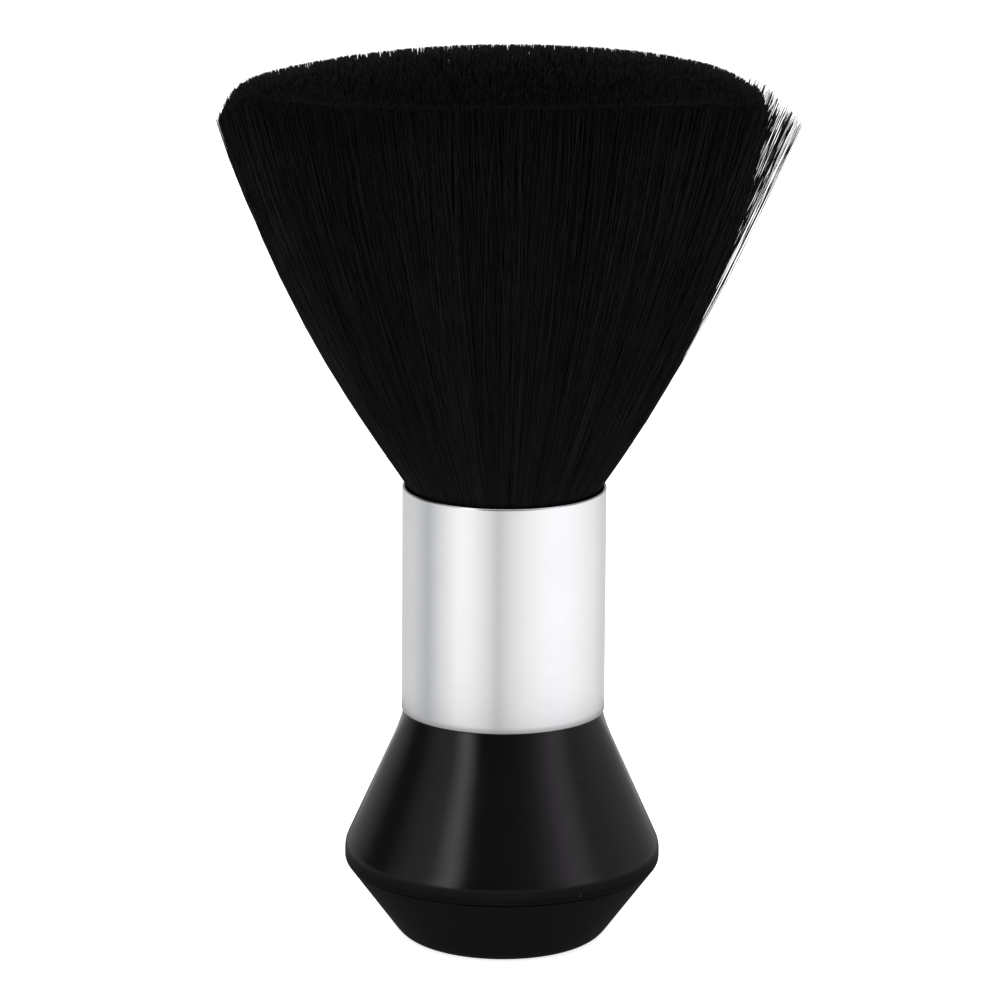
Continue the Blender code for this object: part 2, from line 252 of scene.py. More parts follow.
def painted_shade_card():
    """A dark card round the foot that only reflections see: painted shade. It stands in for the table round
    the foot, which lies in the brush's own shade and darkens the lower half of the base in its polish.

    Its rim is (radius cos t, radius sin t). Its glow rises from the middle to the rim, so its edge doesn't
    show in the polish.
    """
    t = np.linspace(0, math.tau, CARD_POINTS, endpoint=False)
    rim = np.stack((CARD_RADIUS * np.cos(t), CARD_RADIUS * np.sin(t), 0 * t - CARD_DROP), axis=-1)
    mesh = bpy.data.meshes.new("painted_shade_card")
    mesh.from_pydata(rim.tolist(), [], [tuple(range(len(t)))])
    card = bpy.data.objects.new("painted_shade_card", mesh)
    bpy.context.scene.collection.objects.link(card)
    card.visible_camera = card.visible_diffuse = card.visible_shadow = False
    finish = bpy.data.materials.new("painted_shade_card")
    finish.use_nodes = True
    card_tree = finish.node_tree
    shader = card_tree.nodes["Principled BSDF"]
    shader.inputs["Base Color"].default_value = (0.0, 0.0, 0.0, 1.0)
    shader.inputs["Specular IOR Level"].default_value = 0.0
    where = add_node(card_tree, "ShaderNodeTexCoord").outputs["Object"]
    away = add_node(card_tree, "ShaderNodeVectorMath", {"operation": "LENGTH"}, n0=where).outputs["Value"]
    glow = ramp(card_tree, maths(card_tree, "MULTIPLY", away, 1 / CARD_RADIUS), CARD_GLOW)
    card_tree.links.new(glow, shader.inputs["Emission Color"])
    shader.inputs["Emission Strength"].default_value = 1.0
    mesh.materials.append(finish)
    card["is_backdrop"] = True


painted_shade_card()
lamp_above()
print("dark card", 2 * CARD_RADIUS / MM, "mm across, lamp", LAMP_SIZE, "m across")

# %% [markdown]
# ## The camera
#
# A short lens close by would make the near rims of the tube and the base bulge. A long lens from a metre
# away keeps them nearly level, as a shop's product view does. The camera looks down by 14 degrees, enough
# to show the face that the tips make.

# %% The camera
CAMERA_DISTANCE = 1.0
CAMERA_PITCH = math.radians(13.98)
CAMERA_ROLL = math.radians(0.4)
CAMERA_LENS = 216.2  # focal length in millimetres
CAMERA_AIM = (-0.65 * MM, 0.0, 75.26 * MM)


def camera():
    """It stands at the aim + distance * (0, -cos pitch, sin pitch), and is rolled about its own axis."""
    lens = bpy.data.cameras.new("camera")
    lens.lens = CAMERA_LENS
    stand = bpy.data.objects.new("camera", lens)
    stand.location = (
        CAMERA_AIM[0],
        CAMERA_AIM[1] - CAMERA_DISTANCE * math.cos(CAMERA_PITCH),
        CAMERA_AIM[2] + CAMERA_DISTANCE * math.sin(CAMERA_PITCH),
    )
    stand.rotation_mode = "ZYX"
    stand.rotation_euler = (math.pi / 2 - CAMERA_PITCH, 0.0, CAMERA_ROLL)
    bpy.context.scene.collection.objects.link(stand)
    bpy.context.scene.camera = stand
    bpy.context.scene.view_settings.view_transform = "Standard"


camera()
print("camera", CAMERA_DISTANCE, "m away, looking down by", round(math.degrees(CAMERA_PITCH), 1), "degrees")

# %% [markdown]
# ## Surfaces from arrays
#
# Everything new here is a surface through rings of points: a turned shell, the tube, the body of the
# hair. Blender's Screw modifier could turn a profile too, but an array of rings also does the hair, whose
# rings go from round to oval. numpy works out all the points at once, and the mesh takes them in one
# call.

# %% A solid from arrays
def solid(name, points, quads, triangles):
    """A mesh object from points and the numbers of the corners of its faces."""
    mesh = bpy.data.meshes.new(name)
    mesh.vertices.add(len(points))
    mesh.vertices.foreach_set("co", np.ravel(points).astype(np.float32))
    corners = np.concatenate((np.ravel(quads), np.ravel(triangles))).astype(np.int32)
    sizes = np.concatenate((np.full(len(quads), 4), np.full(len(triangles), 3)))
    mesh.loops.add(len(corners))
    mesh.loops.foreach_set("vertex_index", corners)
    mesh.polygons.add(len(sizes))
    mesh.polygons.foreach_set("loop_start", (np.cumsum(sizes) - sizes).astype(np.int32))
    mesh.update(calc_edges=True)
    mesh.shade_smooth()
    piece = bpy.data.objects.new(name, mesh)
    bpy.context.scene.collection.objects.link(piece)
    return piece


def skin(name, rings, closed):
    """A surface through rings of points, in an array of shape (rings, points in each, 3).

    Point j of ring i joins point j of ring i + 1. Closed, the last ring joins the first, as on a tube with a
    wall. Otherwise each end closes on its middle. Rings that go up and points that go anticlockwise face out.
    """
    count, around = rings.shape[:2]
    number = np.arange(count * around).reshape(count, around)
    low = number if closed else number[:-1]
    high = np.roll(number, -1, axis=0)[: len(low)]
    quads = np.stack((low, np.roll(low, -1, 1), np.roll(high, -1, 1), high), axis=-1).reshape(-1, 4)
    points = rings.reshape(-1, 3)
    triangles = np.empty((0, 3), int)
    if not closed:
        bottom, top = number[0], number[-1]
        middle = np.full(around, len(points))
        triangles = np.concatenate((
            np.stack((middle, np.roll(bottom, -1), bottom), axis=-1),
            np.stack((middle + 1, top, np.roll(top, -1)), axis=-1),
        ))
        points = np.concatenate((points, rings[[0, -1]].mean(axis=1)))
    piece = solid(name, points, quads, triangles)
    print(name, "has", 2 * len(quads) + len(triangles), "triangles")
    return piece


# %% [markdown]
# ## The outline of a turned piece
#
# The two shells of the base and the tube are turned shapes. The engineering model already has their
# outlines, cut into 48 flat strips round the axis, with arcs of five steps. The outline is read from that
# mesh, so it can't drift from it. Its corners are then eased and it is spun again in many more steps. A
# moulded edge is never quite sharp: the tenth of a millimetre that it is rounded by is what catches the
# light.

# %% Read an outline
AXIS_PLANE = 0.002 * MM  # a point nearer than this to the plane y = 0 lies on it
SAME_POINT = 0.001 * MM  # points nearer than this are one


def outline(node):
    """The (radius, height) points of a turned CAD node, in order, up the outside and down the inside.

    They are the mesh's points with y = 0 and x > 0, joined as the mesh's edges join them. An outline whose
    flat end faces have no point there stops short of the axis at both ends.
    """
    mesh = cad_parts[node].data
    points = np.empty(len(mesh.vertices) * 3, np.float32)
    mesh.vertices.foreach_get("co", points)
    corners = np.empty(len(mesh.loops), np.int32)
    mesh.loops.foreach_get("vertex_index", corners)
    triangles = points.reshape(-1, 3)[corners].reshape(-1, 3, 3)
    sides = np.concatenate([triangles[:, (a, b)] for a, b in ((0, 1), (1, 2), (2, 0))])
    flat = np.all((np.abs(sides[:, :, 1]) < AXIS_PLANE) & (sides[:, :, 0] > AXIS_PLANE), axis=1)
    ends = np.rint(sides[flat][:, :, (0, 2)] / SAME_POINT).astype(int)
    beside = {}
    for a, b in {tuple(sorted(map(tuple, pair))) for pair in ends.tolist()}:
        if a != b:
            beside.setdefault(a, []).append(b)
            beside.setdefault(b, []).append(a)
    loose = sorted((p for p in beside if len(beside[p]) == 1), key=lambda p: p[1])
    chain = [loose[0] if loose else min(beside)]
    while len(chain) < len(beside):
        chain.append(next(p for p in beside[chain[-1]] if p not in chain))
    profile = np.array(chain) * SAME_POINT
    after = np.roll(profile, -1, axis=0)
    area = np.sum(profile[:, 0] * after[:, 1] - after[:, 0] * profile[:, 1])
    return profile if area > 0 else profile[::-1]


# %% Ease its corners
GENTLE = math.radians(25)  # an arc's steps turn by less than this
MOULDED_EDGE = 0.08 * MM
EDGE_SHARE = 0.4  # an eased edge takes up no more than this of its shorter side
EDGE_POINTS = 7
LONGEST_STEP = 1.0 * MM


def eased(profile, closed):
    """Every corner becomes a parabola: (1-s)^2 a + 2 s (1-s) corner + s^2 b, with s from 0 to 1.

    a and b lie on the two sides that meet there. A gentle corner is one step of an arc and is eased to the
    middle of its shorter side; a sharp one only over a moulded edge's width.
    """
    to_axis = np.array((0.0, 1.0))
    first = profile[-1:] if closed else profile[:1] * to_axis
    last = profile[:1] if closed else profile[-1:] * to_axis
    chain = np.concatenate((first, profile, last))
    back = chain[:-2] - profile
    forward = chain[2:] - profile
    back_length = np.linalg.norm(back, axis=1, keepdims=True)
    forward_length = np.linalg.norm(forward, axis=1, keepdims=True)
    back = back / back_length
    forward = forward / forward_length
    shorter = np.minimum(back_length, forward_length)
    turn = np.arccos(np.clip(-np.sum(back * forward, axis=1, keepdims=True), -1, 1))
    reach = np.where(turn < GENTLE, shorter / 2, np.minimum(MOULDED_EDGE, EDGE_SHARE * shorter))
    s = np.linspace(0, 1, EDGE_POINTS)[None, :, None]
    a = (profile + back * reach)[:, None]
    b = (profile + forward * reach)[:, None]
    curve = ((1 - s) ** 2 * a + 2 * s * (1 - s) * profile[:, None] + s**2 * b).reshape(-1, 2)
    step = np.linalg.norm(np.roll(curve, -1, axis=0) - curve, axis=1)
    return curve[step > SAME_POINT]


def stepped(profile, closed):
    """Each side in equal steps no longer than LONGEST_STEP: point + share * (next point - point)."""
    side = np.roll(profile, -1, axis=0) - profile
    steps = np.ceil(np.linalg.norm(side, axis=1) / LONGEST_STEP).astype(int)
    if not closed:
        steps[-1] = 1
    at = np.repeat(np.arange(len(profile)), steps)
    share = (np.arange(len(at)) - np.repeat(np.cumsum(steps) - steps, steps)) / steps[at]
    return profile[at] + share[:, None] * side[at]


# %% Spin it
AROUND = 240  # points in each ring


def turned(name, node, closed):
    """Point (r, z) of the outline goes to (r cos t, r sin t, z), with t all the way round."""
    profile = stepped(eased(outline(node), closed), closed)
    t = np.linspace(0, math.tau, AROUND, endpoint=False)
    r, z = profile[:, :1], profile[:, 1:]
    rings = np.stack((r * np.cos(t), r * np.sin(t), z + 0 * t), axis=-1)
    piece = skin(name, rings, closed)
    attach(piece, "handle")
    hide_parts(node)
    return piece


# %% [markdown]
# ## Black moulded plastic
#
# The base is polished black plastic that has been handled: a mirror with the sharpness taken off, a few
# specks of dust and hairline rubs. A dark base colour with one roughness would look like wet paint. The
# roughness therefore drifts slowly, with fine rubs on top, and a little dust sits in its own pattern.

# %% The finish of the base
PLASTIC_BLACK = (0.0030, 0.0028, 0.0031, 1.0)
DUST_GREY = (0.20, 0.20, 0.21, 1.0)
FINE_DUST = (2.6 * MM, 0.09 * MM, 0.07)  # spacing, size and the share of the places that hold a speck
COARSE_DUST = (6.0 * MM, 0.16 * MM, 0.09)


def new_finish(name):
    """A new material, its node tree and its shader."""
    finish = bpy.data.materials.new(name)
    finish.use_nodes = True
    tree = finish.node_tree
    return finish, tree, tree.nodes["Principled BSDF"]


def specks(tree, where, spacing, size, share):
    """Dots at the middles of a few cells of a Voronoi pattern: 1 on a speck and 0 elsewhere."""
    cells = add_node(tree, "ShaderNodeTexVoronoi", Vector=where, Scale=1 / spacing)
    near = maths(tree, "LESS_THAN", cells.outputs["Distance"], size / spacing)
    lot = add_node(tree, "ShaderNodeSeparateColor", Color=cells.outputs["Color"]).outputs[0]
    chosen = maths(tree, "LESS_THAN", lot, share)
    return maths(tree, "MULTIPLY", near, chosen)


def black_plastic():
    """Roughness = 0.085 + 0.10 * slow noise + 0.08 * fine noise that is drawn out round the axis."""
    finish, tree, shader = new_finish("polished_black_plastic")
    where = add_node(tree, "ShaderNodeTexCoord").outputs["Object"]
    drift = add_node(tree, "ShaderNodeTexNoise", Vector=where, Scale=70.0, Detail=3.0).outputs["Fac"]
    flat = add_node(tree, "ShaderNodeMapping", Vector=where, Scale=(1.0, 1.0, 6.0)).outputs[0]
    rubs = add_node(tree, "ShaderNodeTexNoise", Vector=flat, Scale=420.0, Detail=6.0).outputs["Fac"]
    handled = maths(tree, "MULTIPLY_ADD", rubs, 0.08, maths(tree, "MULTIPLY_ADD", drift, 0.10, 0.085))
    fine = specks(tree, where, *FINE_DUST)
    coarse = specks(tree, where, *COARSE_DUST)
    dust = maths(tree, "MAXIMUM", fine, coarse)
    colour = mixed(tree, dust, PLASTIC_BLACK, DUST_GREY)
    tree.links.new(colour, shader.inputs["Base Color"])
    tree.links.new(handled, shader.inputs["Roughness"])
    grain = add_node(tree, "ShaderNodeTexNoise", Vector=where, Scale=1500.0, Detail=2.0).outputs["Fac"]
    bump = add_node(tree, "ShaderNodeBump", Strength=0.06, Distance=0.02 * MM, Height=grain)
    tree.links.new(bump.outputs[0], shader.inputs["Normal"])
    return finish


plastic = black_plastic()
for name, node in (("base_upper_skin", "base_upper_shell"), ("base_lower_skin", "base_lower_shell")):
    shell = turned(name, node, closed=False)
    shell.data.materials.append(plastic)

# %% [markdown]
# ## Satin aluminium
#
# The tube is drawn aluminium, turned in a lathe and given a satin skin. Its lines run round it, so it
# smears reflections up and down and keeps the soft upright bands. An anisotropic shader could smear them
# too, but it needs a direction at every point of the mesh. Noise squeezed along the axis makes real lines
# instead, and a few short scratches run round the tube where something has rubbed it.

# %% The finish of the tube
SCRATCHES = (5.5 * MM, 0.14 * MM, 0.5)  # spacing, size and share, on a pattern drawn out round the axis
SCRATCH_GREY = (0.30, 0.30, 0.31, 1.0)
SCRATCH_STRENGTH = 0.45


def satin_aluminium():
    """Roughness = 0.09 + 0.04 * slow noise + 0.10 * noise squeezed into lines round the axis."""
    finish, tree, shader = new_finish("satin_aluminium")
    where = add_node(tree, "ShaderNodeTexCoord").outputs["Object"]
    rings = add_node(tree, "ShaderNodeMapping", Vector=where, Scale=(0.02, 0.02, 1.0)).outputs[0]
    lines = add_node(tree, "ShaderNodeTexNoise", Vector=rings, Scale=9000.0, Detail=3.0).outputs["Fac"]
    drift = add_node(tree, "ShaderNodeTexNoise", Vector=where, Scale=90.0, Detail=2.0).outputs["Fac"]
    short = add_node(tree, "ShaderNodeMapping", Vector=where, Scale=(0.12, 0.12, 1.6)).outputs[0]
    marks = specks(tree, short, *SCRATCHES)
    tone = ramp(tree, drift, ((0.3, (0.880, 0.885, 0.895)), (0.7, (0.915, 0.920, 0.930))))
    tone = mixed(tree, maths(tree, "MULTIPLY", marks, SCRATCH_STRENGTH), tone, SCRATCH_GREY)
    tree.links.new(tone, shader.inputs["Base Color"])
    shader.inputs["Metallic"].default_value = 1.0
    satin = maths(tree, "MULTIPLY_ADD", lines, 0.10, maths(tree, "MULTIPLY_ADD", drift, 0.04, 0.09))
    tree.links.new(satin, shader.inputs["Roughness"])
    bump = add_node(tree, "ShaderNodeBump", Strength=0.05, Distance=0.01 * MM, Height=lines)
    tree.links.new(bump.outputs[0], shader.inputs["Normal"])
    return finish


tube = turned("ferrule_skin", "ferrule", closed=True)
tube.data.materials.append(satin_aluminium())

# %% [markdown]
# ## What the tube hides
#
# The resin, the spreader core and the cord could be made again in more detail, as the shells are. They
# keep their CAD shapes instead, since nobody sees them until the brush is taken apart. Each still gets
# its own finish: amber resin with bubbles, pale moulded plastic, twisted thread.

# %% Resin, core and cord
def amber_resin():
    """A cloudy noise sets the colour, and the distance to the nearest bubble sets the bumps."""
    finish, tree, shader = new_finish("amber_resin")
    where = add_node(tree, "ShaderNodeTexCoord").outputs["Object"]
    cloud = add_node(tree, "ShaderNodeTexNoise", Vector=where, Scale=160.0, Detail=5.0).outputs["Fac"]
    colour = ramp(tree, cloud, ((0.3, (0.34, 0.21, 0.07)), (0.7, (0.55, 0.38, 0.17))))
    tree.links.new(colour, shader.inputs["Base Color"])
    shader.inputs["Roughness"].default_value = 0.22
    bubbles = add_node(tree, "ShaderNodeTexVoronoi", Vector=where, Scale=700.0).outputs["Distance"]
    bump = add_node(tree, "ShaderNodeBump", Strength=0.3, Distance=0.1 * MM, Height=bubbles)
    tree.links.new(bump.outputs[0], shader.inputs["Normal"])
    return finish


def pale_plastic():
    """One fine noise sets the colour, the bumps and the roughness, 0.42 + 0.2 * noise."""
    finish, tree, shader = new_finish("pale_plastic")
    where = add_node(tree, "ShaderNodeTexCoord").outputs["Object"]
    grain = add_node(tree, "ShaderNodeTexNoise", Vector=where, Scale=900.0, Detail=4.0).outputs["Fac"]
    colour = ramp(tree, grain, ((0.3, (0.50, 0.49, 0.45)), (0.7, (0.58, 0.57, 0.53))))
    tree.links.new(colour, shader.inputs["Base Color"])
    tree.links.new(maths(tree, "MULTIPLY_ADD", grain, 0.2, 0.42), shader.inputs["Roughness"])
    bump = add_node(tree, "ShaderNodeBump", Strength=0.2, Distance=0.05 * MM, Height=grain)
    tree.links.new(bump.outputs[0], shader.inputs["Normal"])
    return finish


def twisted_thread():
    """Slanting bands set the colour and the bumps."""
    finish, tree, shader = new_finish("twisted_thread")
    where = add_node(tree, "ShaderNodeTexCoord").outputs["Object"]
    bands = {"bands_direction": "DIAGONAL"}
    wave = add_node(tree, "ShaderNodeTexWave", bands, Vector=where, Scale=420.0, Distortion=1.5, Detail=2.0)
    twist = wave.outputs["Fac"]
    colour = ramp(tree, twist, ((0.0, (0.40, 0.36, 0.28)), (1.0, (0.66, 0.62, 0.53))))
    tree.links.new(colour, shader.inputs["Base Color"])
    shader.inputs["Roughness"].default_value = 0.85
    bump = add_node(tree, "ShaderNodeBump", Strength=0.8, Distance=0.2 * MM, Height=twist)
    tree.links.new(bump.outputs[0], shader.inputs["Normal"])
    return finish


for node, finish in (
    ("resin_plug", amber_resin()), ("spreader_core", pale_plastic()), ("binding_cord", twisted_thread())
):
    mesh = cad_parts[node].data
    mesh.materials.clear()
    mesh.materials.append(finish)
    print(node, "is finished as", finish.name)

# %% [markdown]
# ## How a hair runs
#
# A neck duster's hair is cut to one length, potted at the bottom and pressed into a fan. Combed guide
# curves could lead it, but a formula keeps every hair inside the fan. Each hair has a place in the round
# bundle, given by two numbers u and v with u^2 + v^2 <= 1, and goes to the same place in the oval of the
# tips. It leans out fastest where it leaves the tube. A hair that leans far ends lower, so the fan's
# corners droop, and the middle stays a little short because the core holds the hair apart there. On this
# brush the right corner has been used more: its thick part stays tucked in, and loose hairs splay out
# past it.

# %% The run of a hair
FLARE = 0.43  # how much faster a hair leans out at the mouth than on average
HALF_DEPTH = TUFT_TOP.y  # of the fan at the tips, from front to back
REACH = TUFT_TOP.x - 0.6 * MM  # of the side tips
TRIM = TUFT_TOP.z - MOUTH + 0.5 * MM  # height of the tips in the middle of the front and back
SLOPE = 0.5 * MM  # how much higher the right side is cut than the middle
ARCH = 3.0 * MM  # how much lower the sides are cut
LEFT_CORNER, LEFT_TURN = 4.3 * MM, 30  # how far a corner sinks, and how suddenly
RIGHT_CORNER, RIGHT_TURN = 6.5 * MM, 8
HOLLOW = 7.0 * MM  # how far the tips in the middle stay below the rim
TUCK = 0.122  # how far the thick of the right corner is tucked in, as a share of its reach
TUCK_TURN = 12  # how suddenly the tuck begins towards the corner
KICK = 3.0 * MM  # how far the loose hairs of the right corner splay out


def hair_run(u, v, share, loose=0.0):
    """Where a hair is at a share of its free height; below 0 it stands straight in the tube.

    x = u * (bundle radius + (REACH - bundle radius) * f), and y is the same with v and HALF_DEPTH, where
    f = share * (1 + FLARE * (1 - share)). On the right the thick of the hair is tucked in by
    TUCK * u^12 * share^2 and a loose hair kicks out by KICK * u^2 * share^4. z = mouth + height * share,
    where the height falls off to the sides with the square of the reach, at the corners with a high power
    of it, and towards the middle with (1 - u^2 - v^2)^2.
    """
    free = np.maximum(share, 0)
    f = free * (1 + FLARE * (1 - free))
    right = np.maximum(u, 0)
    tuck = (1 - loose) * TUCK * right**TUCK_TURN
    x = (BUNDLE_RADIUS + (REACH - BUNDLE_RADIUS) * f) * (u - tuck * free**2)
    x = x + loose * KICK * right**2 * free**4
    y = (BUNDLE_RADIUS + (HALF_DEPTH - BUNDLE_RADIUS) * f) * v
    out = np.abs(u - tuck)
    corner = np.where(u > 0, RIGHT_CORNER * out**RIGHT_TURN, LEFT_CORNER * out**LEFT_TURN)
    hollow = HOLLOW * (1 - np.minimum(u**2 + v**2, 1)) ** 2
    height = TRIM + SLOPE * u - ARCH * out**2 - corner - hollow
    return np.stack((x, y, MOUTH + height * share), axis=-1)


print("the fan is", round(2 * REACH / MM, 1), "mm wide and", round(2 * HALF_DEPTH / MM, 1), "mm deep")

# %% [markdown]
# ## The body of the hair
#
# A bundle this thick holds tens of thousands of hairs, and most of them are never seen. All of them could
# be modelled, but the file would swell for nothing. The inside of the tuft is one dark solid, a little
# smaller than the hair, and the hairs that can be seen stand round it. In the tube it has the waist that
# the cord ties and the hollow in which the core stands.

# %% The body of the hair
BODY_SHARE = 0.90  # of the bundle's half width
BODY_SHORT = 7.0 * MM  # how far its top stays below the tips
BODY_AROUND = 120  # points in each ring
SIDE_RINGS = 24
FACE_RINGS = 16
FACE_FROM, FACE_TO = 0.97, 0.05  # the first and last ring of its upper face, as shares of its half width
CLEAR = 0.3 * MM
CORD_ROOM = 1.3 * MM  # the cord's thickness and its clearance
ABOVE_CORD = 0.97  # the bundle's share of its radius just above the cord
CORE_POINT = 0.45  # the core's blunt end, as a share of its radius
CORE_POINT_LENGTH = 6.0 * MM


def hair_body():
    """Rings down inside the core's hole, out over the plug and up the outside to the tips: one skin.

    In the tube a ring is (r cos t, r sin t, z). Above the mouth it is the run of the hairs at
    (BODY_SHARE cos t, BODY_SHARE sin t).
    """
    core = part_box("spreader_core")[1]
    low, high = (corner.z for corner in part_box("binding_cord"))
    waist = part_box("binding_cord")[1].x - CORD_ROOM
    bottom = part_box("resin_plug")[1].z + CLEAR
    held = np.array((
        (CORE_POINT * core.x, core.z + CLEAR), (core.x + CLEAR, core.z - CORE_POINT_LENGTH + CLEAR),
        (core.x + CLEAR, bottom), (BUNDLE_RADIUS, bottom), (BUNDLE_RADIUS, low - CORD_ROOM - CLEAR),
        (waist, low - CLEAR), (waist, high + CLEAR), (ABOVE_CORD * BUNDLE_RADIUS, high + CORD_ROOM + CLEAR),
    ))
    t = np.linspace(0, math.tau, BODY_AROUND, endpoint=False)
    r, z = held[:, :1], held[:, 1:]
    tube_rings = np.stack((r * np.cos(t), r * np.sin(t), z + 0 * t), axis=-1)
    u, v = BODY_SHARE * np.cos(t), BODY_SHARE * np.sin(t)
    top = 1 - BODY_SHORT / HAIR_LENGTH
    outside = hair_run(u, v, np.linspace(0, top, SIDE_RINGS)[:, None])
    s = np.linspace(FACE_FROM, FACE_TO, FACE_RINGS)[:, None]
    face = hair_run(s * u, s * v, top)
    return skin("hair_body", np.concatenate((tube_rings, outside, face)), closed=False)


body = hair_body()

# %% [markdown]
# ## Single hairs
#
# Blender has hair curves and particles, but their strands have no surface of their own. These hairs are
# real rods with three sides, thin enough that the eye never counts the sides, and cut off nearly square.
# All the hairs of a piece are worked out at once, as one array with a row for each hair.

# %% A set of hairs
SIDES = 3
BLUNT = 0.8  # how wide a hair still is just before its tip
rng = np.random.default_rng(7)


def hairs(name, centre, radius, tone, finish):
    """Rods round centre lines, in an array of shape (hairs, steps, 3); the last step is the tip.

    A section's corners are centre + radius * taper * (cos a * side + sin a * front), a = 0, 120 and 240
    degrees, where side and front are square to the hair and to each other.
    """
    count, steps = centre.shape[:2]
    along = np.gradient(centre, axis=1)
    along /= np.linalg.norm(along, axis=2, keepdims=True)
    heading = rng.uniform(0, math.tau, (count, 1))
    level = np.stack((np.cos(heading), np.sin(heading), 0 * heading), axis=-1)
    side = np.cross(along, np.broadcast_to(level, along.shape))
    side /= np.linalg.norm(side, axis=2, keepdims=True)
    front = np.cross(along, side)
    a = np.arange(SIDES) * math.tau / SIDES
    taper = np.ones(steps)
    taper[-2] = BLUNT
    width = (np.reshape(radius, (-1, 1)) * taper)[:, :-1, None, None]
    spokes = np.cos(a)[:, None] * side[:, :-1, None] + np.sin(a)[:, None] * front[:, :-1, None]
    rings = centre[:, :-1, None] + width * spokes
    number = np.arange(rings[..., 0].size).reshape(rings.shape[:3])
    low, high = number[:, :-1], number[:, 1:]
    quads = np.stack((low, np.roll(low, -1, 2), np.roll(high, -1, 2), high), axis=-1).reshape(-1, 4)
    last = number[:, -1]
    tip = np.broadcast_to(number.size + np.arange(count)[:, None], last.shape)
    points = np.concatenate((rings.reshape(-1, 3), centre[:, -1]))
    ends = np.stack((last, np.roll(last, -1, 1), tip), axis=-1).reshape(-1, 3)
    triangles = np.concatenate((ends, number[:, 0, ::-1]))
    piece = solid(name, points, quads, triangles)
    shade = piece.data.attributes.new("tone", "FLOAT", "POINT")
    tones = np.concatenate((np.repeat(tone[:, :-1], SIDES), tone[:, -1]))
    shade.data.foreach_set("value", tones.astype(np.float32))
    piece.data.materials.append(finish)
    print(name, "has", count, "hairs and", 2 * len(quads) + len(triangles), "triangles")
    return piece


# %% [markdown]
# ## Black hair
#
# Black hair is almost all shine: the fibre takes up nearly all the light and its skin gives back a thin
# streak. Blender's own hair shader is meant for strands and doesn't survive an export, so this is the
# plain shader, kept very dark. The tone of each hair comes from an attribute, so a lighter hair is
# lighter over its whole length. The same attribute also carries painted light on the tips at the back
# and painted shade on the tips at the front.

# %% The finish of the hair
HAIR_TONES = (
    (0.1, (0.0023, 0.0023, 0.0025)), (0.5, (0.0045, 0.0043, 0.0045)), (0.8, (0.0095, 0.009, 0.009)),
    (1.0, (0.018, 0.017, 0.017)),
)


def black_hair():
    """The colour follows 0.6 * the hair's tone + 0.4 * a noise drawn out along the hair."""
    finish, tree, shader = new_finish("soft_black_hair")
    tone = add_node(tree, "ShaderNodeAttribute", {"attribute_name": "tone"}).outputs["Fac"]
    where = add_node(tree, "ShaderNodeTexCoord").outputs["Object"]
    stretched = add_node(tree, "ShaderNodeMapping", Vector=where, Scale=(1.0, 1.0, 0.2)).outputs[0]
    glint = add_node(tree, "ShaderNodeTexNoise", Vector=stretched, Scale=900.0, Detail=2.0).outputs["Fac"]
    # The tone carries painted light on the tips at the back and painted shade on the tips at the front.
    tone = maths(tree, "MULTIPLY_ADD", glint, 0.4, maths(tree, "MULTIPLY", tone, 0.6))
    tree.links.new(ramp(tree, tone, HAIR_TONES), shader.inputs["Base Color"])
    wear = add_node(tree, "ShaderNodeTexNoise", Vector=where, Scale=300.0, Detail=2.0).outputs["Fac"]
    tree.links.new(maths(tree, "MULTIPLY_ADD", wear, 0.2, 0.38), shader.inputs["Roughness"])
    shader.inputs["Specular IOR Level"].default_value = 0.10
    return finish


def shadow_hair():
    """The same hair seen deep inside, where hardly any light comes back: streaks that run up the body."""
    finish, tree, shader = new_finish("deep_black_hair")
    where = add_node(tree, "ShaderNodeTexCoord").outputs["Object"]
    long = add_node(tree, "ShaderNodeMapping", Vector=where, Scale=(1.0, 1.0, 0.04)).outputs[0]
    streak = add_node(tree, "ShaderNodeTexNoise", Vector=long, Scale=2500.0, Detail=3.0).outputs["Fac"]
    colour = ramp(tree, streak, ((0.3, (0.002, 0.002, 0.002)), (0.8, (0.005, 0.005, 0.005))))
    tree.links.new(colour, shader.inputs["Base Color"])
    shader.inputs["Roughness"].default_value = 0.7
    shader.inputs["Specular IOR Level"].default_value = 0.05
    bump = add_node(tree, "ShaderNodeBump", Strength=0.6, Distance=0.2 * MM, Height=streak)
    tree.links.new(bump.outputs[0], shader.inputs["Normal"])
    return finish


hair_finish = black_hair()
body.data.materials.append(shadow_hair())
print("hair finishes:", hair_finish.name, "and", body.data.materials[0].name)

# %% [markdown]
# ## Locks
#
# Handled hair clings together in locks: neighbours lean together towards their tips, and each lock is a
# little longer, shorter, lighter or darker. Random points would leave bare patches and crowds, so the
# locks' middles lie on a sunflower spiral, which spreads points evenly over a disc. Each hair belongs to
# the nearest one and is drawn a little towards it as it nears its tip.

# %% Where the locks are
LOCKS = 700
GOLDEN_TURN = math.pi * (3 - math.sqrt(5))
LOCK_SHIFT = 0.008  # how far a lock lies from its place on the spiral, as a share of the fan's half width
LOCK_UNEVEN = 0.03 * MM
DARK_LOCKS = 1.5  # the higher, the fewer light locks
turns = np.arange(LOCKS) * GOLDEN_TURN
spread = np.sqrt((np.arange(LOCKS) + 0.5) / LOCKS)
lock_u = spread * np.cos(turns) + rng.normal(0, LOCK_SHIFT, LOCKS)
lock_v = spread * np.sin(turns) + rng.normal(0, LOCK_SHIFT, LOCKS)
lock_longer = rng.normal(0, LOCK_UNEVEN, LOCKS)
lock_tone = rng.uniform(0, 1, LOCKS) ** DARK_LOCKS
print(LOCKS, "locks, with a mean tone of", round(float(lock_tone.mean()), 2))

